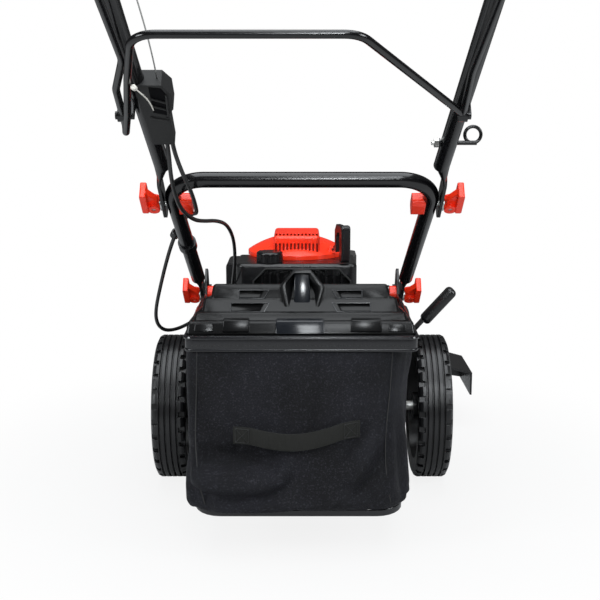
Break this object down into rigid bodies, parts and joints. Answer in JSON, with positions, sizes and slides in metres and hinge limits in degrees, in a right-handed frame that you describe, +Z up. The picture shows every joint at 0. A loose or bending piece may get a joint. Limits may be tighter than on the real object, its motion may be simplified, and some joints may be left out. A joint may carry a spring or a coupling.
{
  "type": "lawn mower",
  "caption": "Walk-behind rotary mower: pressed deck on cranked axles, vertical-shaft engine with red recoil cover, rear grass bag with vented lid, side chute and folding tube handle.",
  "frame": {"origin": "on the ground, in the middle plane, level with the crankshaft", "axes": "+Y forward (away from the grip), +X to the right, +Z up"},
  "size_m": [0.5769, 1.479, 0.9375],
  "materials": {
    "deck_black": "semi-gloss black powder coat",
    "tube_black": "satin black powder coat",
    "black_plastic": "satin black moulding",
    "wheel_black": "matt black moulding",
    "red_plastic": "glossy orange-red moulding",
    "grey_plastic": "dark grey moulding",
    "zinc_steel": "zinc plated",
    "engine_cast": "as cast",
    "muffler_steel": "heat-proof black",
    "flywheel_cast": "cast",
    "blade_steel": "hardened, dark",
    "bag_fabric": "woven black polyester",
    "strap_webbing": "black webbing",
    "foam": "closed-cell foam sleeve",
    "cable_black": "black outer sheath",
    "rope_cord": "braided cord"
  },
  "bodies": {
    "deck": {"deck_shell": "deck_black", "axle_bearings": "black_plastic", "handle_bracket_left": "deck_black", "handle_bracket_right": "deck_black", "flap_rod": "zinc_steel", "engine_block": "engine_cast", "cylinder_head": "engine_cast", "muffler": "muffler_steel", "carburettor": "engine_cast", "air_filter_box": "black_plastic", "fuel_tank": "black_plastic", "blower_housing": "black_plastic", "recoil_cover": "red_plastic", "spark_plug": "black_plastic", "engine_bolts": "zinc_steel", "stop_cable_lower": "cable_black", "speed_cable_lower": "cable_black"},
    "crank": {"crankshaft": "zinc_steel", "flywheel": "flywheel_cast", "blade_adapter": "zinc_steel", "blade": "blade_steel", "blade_bolt": "zinc_steel"},
    "recoil_pulley": {"recoil_pulley": "grey_plastic"},
    "starter_grip": {"starter_grip": "black_plastic", "starter_rope": "rope_cord"},
    "fuel_cap": {"fuel_cap": "black_plastic"},
    "rear_axle": {"rear_axle": "zinc_steel", "height_lever": "tube_black"},
    "front_axle": {"front_axle": "zinc_steel"},
    "height_link": {"height_link": "zinc_steel"},
    "rear_wheel_left": {"rear_wheel_left": "wheel_black", "rear_hubcap_left": "black_plastic"},
    "rear_wheel_right": {"rear_wheel_right": "wheel_black", "rear_hubcap_right": "black_plastic"},
    "front_wheel_left": {"front_wheel_left": "wheel_black", "front_hubcap_left": "black_plastic"},
    "front_wheel_right": {"front_wheel_right": "wheel_black", "front_hubcap_right": "black_plastic"},
    "rear_flap": {"rear_flap": "black_plastic"},
    "side_deflector": {"side_deflector": "black_plastic"},
    "grass_bag": {"bag_lid": "black_plastic", "bag_frame": "zinc_steel", "bag_body": "bag_fabric", "bag_strap": "strap_webbing"},
    "lower_handle": {"lower_handle": "tube_black", "clamp_bolts": "zinc_steel", "clamp_nuts": "red_plastic", "cable_clip": "black_plastic", "stop_cable_upper": "cable_black", "speed_cable_upper": "cable_black"},
    "upper_handle": {"upper_handle": "tube_black", "foam_grip": "foam", "cable_box": "grey_plastic", "rope_guide": "zinc_steel"},
    "stop_bail": {"stop_bail": "tube_black"},
    "speed_lever": {"speed_lever": "black_plastic"},
    "clamp_lower_left": {"clamp_lever_lower_left": "red_plastic"},
    "clamp_lower_right": {"clamp_lever_lower_right": "red_plastic"},
    "clamp_upper_left": {"clamp_lever_upper_left": "red_plastic"},
    "clamp_upper_right": {"clamp_lever_upper_right": "red_plastic"}
  },
  "joints": [
    {"name": "crank_spin", "type": "hinge", "parent": "deck", "child": "crank", "pos_m": [-0.01, 0, 0], "axis": [0, 0, 1], "continuous": true},
    {"name": "starter_pull", "type": "slide", "parent": "deck", "child": "starter_grip", "axis": [0.2373, -0.9033, 0.3575], "range_m": [0, 0.35], "deforming": ["starter_rope"]},
    {"name": "pulley_spin", "type": "hinge", "parent": "deck", "child": "recoil_pulley", "pos_m": [-0.01, 0, 0.352], "axis": [0, 0, 1], "range_deg": [-502, 0]},
    {"name": "fuel_cap_turn", "type": "hinge", "parent": "deck", "child": "fuel_cap", "pos_m": [-0.059, -0.11, 0.338], "axis": [0, 0, 1], "range_deg": [0, 90]},
    {"name": "height_adjust", "type": "hinge", "parent": "deck", "child": "rear_axle", "pos_m": [0, -0.24922, 0.10098], "axis": [1, 0, 0], "range_deg": [0, 50]},
    {"name": "front_height", "type": "hinge", "parent": "deck", "child": "front_axle", "pos_m": [0, 0.31078, 0.07098], "axis": [1, 0, 0], "range_deg": [0, 50]},
    {"name": "link_pivot", "type": "hinge", "parent": "rear_axle", "child": "height_link", "pos_m": [-0.165, -0.21118, 0.18255], "axis": [1, 0, 0], "range_deg": [-50, 0]},
    {"name": "rear_left_spin", "type": "hinge", "parent": "rear_axle", "child": "rear_wheel_left", "pos_m": [-0.214, -0.29, 0.12], "axis": [1, 0, 0], "continuous": true},
    {"name": "rear_right_spin", "type": "hinge", "parent": "rear_axle", "child": "rear_wheel_right", "pos_m": [0.214, -0.29, 0.12], "axis": [1, 0, 0], "continuous": true},
    {"name": "front_left_spin", "type": "hinge", "parent": "front_axle", "child": "front_wheel_left", "pos_m": [-0.212, 0.27, 0.09], "axis": [1, 0, 0], "continuous": true},
    {"name": "front_right_spin", "type": "hinge", "parent": "front_axle", "child": "front_wheel_right", "pos_m": [0.212, 0.27, 0.09], "axis": [1, 0, 0], "continuous": true},
    {"name": "flap_lift", "type": "hinge", "parent": "deck", "child": "rear_flap", "pos_m": [0, -0.226, 0.308], "axis": [-1, 0, 0], "range_deg": [0, 75]},
    {"name": "deflector_lift", "type": "hinge", "parent": "deck", "child": "side_deflector", "pos_m": [0.232, 0.04, 0.129], "axis": [0, -1, 0], "range_deg": [0, 70]},
    {"name": "bag_off", "type": "slide", "parent": "deck", "child": "grass_bag", "axis": [0, -0.9903, 0.1392], "range_m": [0, 0.5]},
    {"name": "handle_tilt", "type": "hinge", "parent": "deck", "child": "lower_handle", "pos_m": [0, -0.29, 0.311], "axis": [1, 0, 0], "range_deg": [-110, 0], "deforming": ["stop_cable_lower", "speed_cable_lower"]},
    {"name": "upper_fold", "type": "hinge", "parent": "lower_handle", "child": "upper_handle", "pos_m": [0, -0.5138, 0.48585], "axis": [-1, 0, 0], "range_deg": [0, 140], "deforming": ["stop_cable_upper", "speed_cable_upper"]},
    {"name": "bail_squeeze", "type": "hinge", "parent": "upper_handle", "child": "stop_bail", "pos_m": [0, -0.71269, 0.6146], "axis": [-1, 0, 0], "range_deg": [0, 10], "stiffness_Nm_per_rad": 4, "springref_deg": -11.46},
    {"name": "speed_turn", "type": "hinge", "parent": "upper_handle", "child": "speed_lever", "pos_m": [-0.2, -0.91056, 0.81614], "axis": [1, 0, 0], "range_deg": [-60, 0]},
    {"name": "clamp_lower_left_open", "type": "hinge", "parent": "lower_handle", "child": "clamp_lower_left", "pos_m": [-0.1789, -0.29, 0.311], "axis": [0, -0.6157, -0.788], "range_deg": [0, 95]},
    {"name": "clamp_upper_left_open", "type": "hinge", "parent": "lower_handle", "child": "clamp_upper_left", "pos_m": [-0.2114, -0.5138, 0.48585], "axis": [0, -0.6157, -0.788], "range_deg": [0, 95]},
    {"name": "clamp_lower_right_open", "type": "hinge", "parent": "lower_handle", "child": "clamp_lower_right", "pos_m": [0.1789, -0.29, 0.311], "axis": [0, 0.6157, 0.788], "range_deg": [0, 95]},
    {"name": "clamp_upper_right_open", "type": "hinge", "parent": "lower_handle", "child": "clamp_upper_right", "pos_m": [0.2114, -0.5138, 0.48585], "axis": [0, 0.6157, 0.788], "range_deg": [0, 95]}
  ],
  "couplings": [
    {"joint": "pulley_spin", "follows": "starter_pull", "rad_per_m": -25},
    {"joint": "front_height", "follows": "height_adjust", "ratio": 1},
    {"joint": "link_pivot", "follows": "height_adjust", "ratio": -1}
  ]
}
